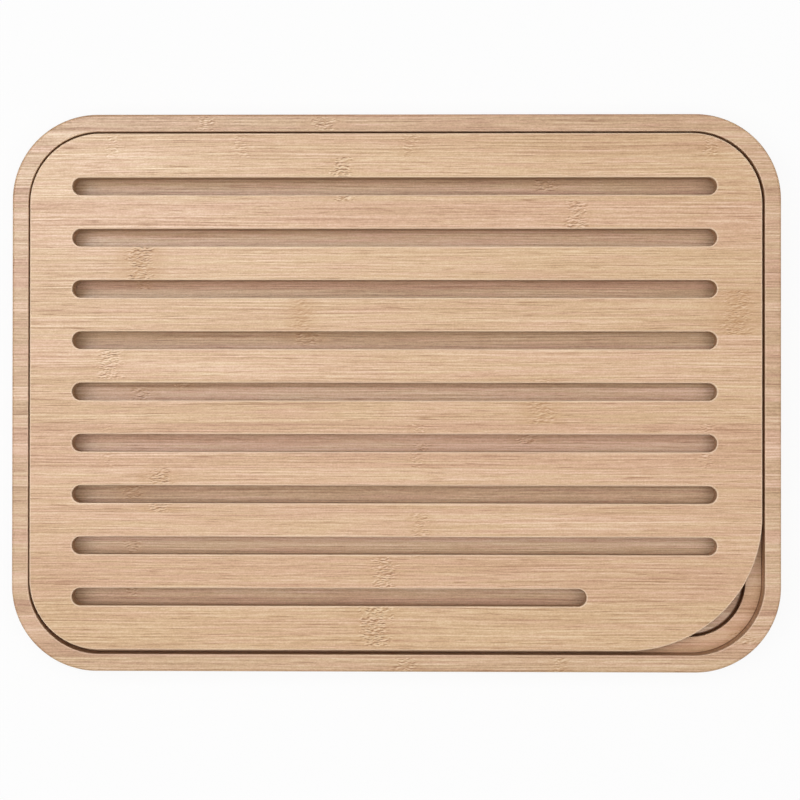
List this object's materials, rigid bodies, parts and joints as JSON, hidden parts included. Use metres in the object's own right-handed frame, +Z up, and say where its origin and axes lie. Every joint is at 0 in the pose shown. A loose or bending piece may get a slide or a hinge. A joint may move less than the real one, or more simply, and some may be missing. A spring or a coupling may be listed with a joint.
{
  "type": "bread board with crumb tray",
  "caption": "Rounded bamboo bread board: a slotted grid lies flush in a crumb tray and lifts out at one wide corner over a finger gap.",
  "frame": {"origin": "under the middle of the board, on the surface that its feet stand on", "axes": "+X along the board's length towards the end with the wide lifting corner, +Y across it away from that corner, +Z up"},
  "size_m": [0.4, 0.29, 0.024],
  "materials": {
    "strip_bamboo": "satin, oiled bamboo in narrow strips on edge",
    "stave_bamboo": "satin, oiled bamboo in wide flat staves",
    "foot_rubber": "matt"
  },
  "bodies": {
    "tray": {"crumb_tray": "strip_bamboo", "foot_front_left": "foot_rubber", "foot_front_right": "foot_rubber", "foot_back_left": "foot_rubber", "foot_back_right": "foot_rubber"},
    "grid": {"bread_grid": "stave_bamboo"}
  },
  "joints": [
    {"name": "grid_lift", "type": "slide", "parent": "tray", "child": "grid", "axis": [0, 0, 1], "range_m": [0, 0.06]}
  ]
}
